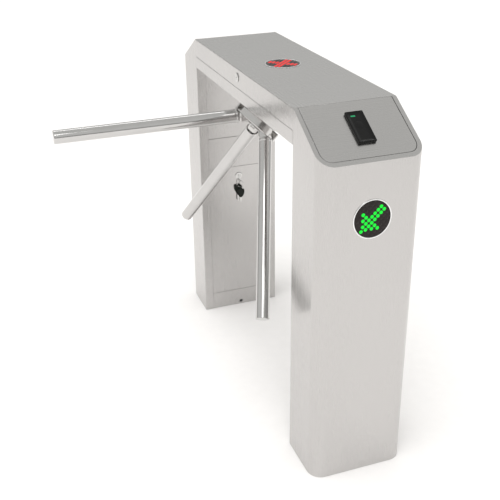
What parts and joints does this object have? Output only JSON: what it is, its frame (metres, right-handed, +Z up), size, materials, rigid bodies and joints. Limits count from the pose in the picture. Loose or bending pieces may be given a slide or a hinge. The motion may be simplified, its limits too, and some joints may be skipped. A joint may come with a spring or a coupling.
{
  "type": "tripod turnstile",
  "caption": "Stainless steel tripod turnstile: end pillars carry a beam with a tilted rotor of tubular arms, round signal lamps, card readers and locked service covers.",
  "frame": {"origin": "on the floor, at the middle of the footprint of the whole object with one arm lying straight across the lane", "axes": "+Z up, +Y along the lane from the near end to the far end, -X across the lane towards the arm's tip"},
  "size_m": [0.811, 1.1728, 1.0214],
  "materials": {
    "brushed_sheet": "fine brushed stainless sheet, satin",
    "polished_steel": "polished stainless tube and hub, mirror-like",
    "plated_steel": "zinc-plated steel, dull",
    "ground_steel": "ground bearing steel",
    "lock_chrome": "chromed lock face and key ring",
    "bezel_metal": "satin anodised ring",
    "lamp_lens": "smoked acrylic over an LED matrix",
    "reader_black": "black gloss plastic",
    "key_black": "black moulded key bow",
    "circuit_board": "green solder mask",
    "aluminium_case": "plain folded aluminium case"
  },
  "bodies": {
    "cabinet": {"beam_tray": "brushed_sheet", "bearing_housing": "plated_steel", "cabinet_shell": "brushed_sheet", "control_board": "circuit_board", "count_sensor": "reader_black", "far_base_plate": "plated_steel", "far_kick_panel": "brushed_sheet", "far_lamp_bezel": "bezel_metal", "far_lamp_board": "circuit_board", "far_lamp_lens": "lamp_lens", "far_mid_panel": "brushed_sheet", "far_reader": "reader_black", "far_slope_panel": "brushed_sheet", "far_upper_panel": "brushed_sheet", "lower_bearing": "ground_steel", "mechanism_frame": "plated_steel", "near_base_plate": "plated_steel", "near_kick_panel": "brushed_sheet", "near_lamp_bezel": "bezel_metal", "near_lamp_board": "circuit_board", "near_lamp_lens": "lamp_lens", "near_mid_panel": "brushed_sheet", "near_reader": "reader_black", "near_slope_panel": "brushed_sheet", "near_upper_panel": "brushed_sheet", "power_supply": "aluminium_case", "solenoid_a": "plated_steel", "solenoid_b": "plated_steel", "upper_bearing": "ground_steel"},
    "lid": {"top_lid": "brushed_sheet", "lid_hook": "plated_steel", "top_lamp_bezel": "bezel_metal", "top_lamp_lens": "lamp_lens", "top_lamp_board": "circuit_board"},
    "lid_lock": {"lid_lock": "lock_chrome", "lid_cam": "plated_steel"},
    "near_door": {"near_door": "brushed_sheet"},
    "near_lock": {"near_door_lock": "lock_chrome", "near_door_cam": "plated_steel"},
    "far_door": {"far_door": "brushed_sheet"},
    "far_lock": {"far_door_lock": "lock_chrome", "far_door_cam": "plated_steel"},
    "key_ring": {"key_ring": "lock_chrome"},
    "key_1": {"key_1": "key_black"},
    "key_2": {"key_2": "key_black"},
    "rotor": {"hub_disc": "polished_steel", "hub_cap": "polished_steel", "main_shaft": "ground_steel", "index_disc": "plated_steel", "centring_cam": "plated_steel", "sensor_disc": "plated_steel", "arm_1": "polished_steel", "arm_2": "polished_steel", "arm_3": "polished_steel"},
    "pawl_a": {"pawl_a": "plated_steel"},
    "pawl_b": {"pawl_b": "plated_steel"},
    "plunger_a": {"plunger_a": "ground_steel"},
    "plunger_b": {"plunger_b": "ground_steel"},
    "centring_lever": {"centring_lever": "plated_steel"},
    "centring_roller": {"centring_roller": "ground_steel"}
  },
  "joints": [
    {"name": "rotor_spin", "type": "hinge", "parent": "cabinet", "child": "rotor", "pos_m": [0.2115, 0, 0.8817], "axis": [-0.7071, 0, -0.7071], "continuous": true},
    {"name": "lid_tilt", "type": "hinge", "parent": "cabinet", "child": "lid", "pos_m": [0.4055, 0, 1.01785], "axis": [0, 1, 0], "range_deg": [0, 60]},
    {"name": "lid_lock_turn", "type": "hinge", "parent": "cabinet", "child": "lid_lock", "pos_m": [0.1255, 0, 0.994], "axis": [-1, 0, 0], "range_deg": [0, 90]},
    {"name": "near_door_tilt", "type": "hinge", "parent": "cabinet", "child": "near_door", "pos_m": [0.2655, -0.415, 0.0653], "axis": [-1, 0, 0], "range_deg": [0, 30]},
    {"name": "near_lock_turn", "type": "hinge", "parent": "near_door", "child": "near_lock", "pos_m": [0.2655, -0.415, 0.525], "axis": [0, -1, 0], "range_deg": [0, 90]},
    {"name": "far_door_tilt", "type": "hinge", "parent": "cabinet", "child": "far_door", "pos_m": [0.2655, 0.415, 0.0653], "axis": [1, 0, 0], "range_deg": [0, 30]},
    {"name": "far_lock_turn", "type": "hinge", "parent": "far_door", "child": "far_lock", "pos_m": [0.2655, 0.415, 0.525], "axis": [0, 1, 0], "range_deg": [0, 90]},
    {"name": "key_ring_swing", "type": "hinge", "parent": "far_door", "child": "key_ring", "pos_m": [0.2665, 0.403, 0.5083], "axis": [0, 1, 0], "range_deg": [-45, 45]},
    {"name": "key_1_swing", "type": "hinge", "parent": "key_ring", "child": "key_1", "pos_m": [0.2611, 0.4084, 0.48748], "axis": [0, 1, 0], "range_deg": [-20, 20]},
    {"name": "key_2_swing", "type": "hinge", "parent": "key_ring", "child": "key_2", "pos_m": [0.26841, 0.40109, 0.48528], "axis": [0, 1, 0], "range_deg": [-20, 20]},
    {"name": "plunger_a_slide", "type": "slide", "parent": "cabinet", "child": "plunger_a", "axis": [0, -1, 0], "range_m": [0, 0.012], "stiffness_N_per_m": 200},
    {"name": "pawl_a_swing", "type": "hinge", "parent": "cabinet", "child": "pawl_a", "pos_m": [0.27302, 0.06, 0.99979], "axis": [-0.7071, 0, -0.7071], "range_deg": [0, 12]},
    {"name": "plunger_b_slide", "type": "slide", "parent": "cabinet", "child": "plunger_b", "axis": [0, 1, 0], "range_m": [0, 0.012], "stiffness_N_per_m": 200},
    {"name": "pawl_b_swing", "type": "hinge", "parent": "cabinet", "child": "pawl_b", "pos_m": [0.27302, -0.06, 0.99979], "axis": [0.7071, 0, 0.7071], "range_deg": [0, 12]},
    {"name": "centring_lever_swing", "type": "hinge", "parent": "cabinet", "child": "centring_lever", "pos_m": [0.3105, 0.062, 0.94958], "axis": [0.7071, 0, 0.7071], "range_deg": [0, 12], "stiffness_Nm_per_rad": 2},
    {"name": "centring_roller_spin", "type": "hinge", "parent": "centring_lever", "child": "centring_roller", "pos_m": [0.28221, 0.0515, 0.96938], "axis": [0.7071, 0, 0.7071], "continuous": true}
  ],
  "couplings": [
    {"joint": "plunger_a_slide", "follows": "pawl_a_swing", "m_per_rad": 0.0572},
    {"joint": "plunger_b_slide", "follows": "pawl_b_swing", "m_per_rad": 0.0572}
  ]
}
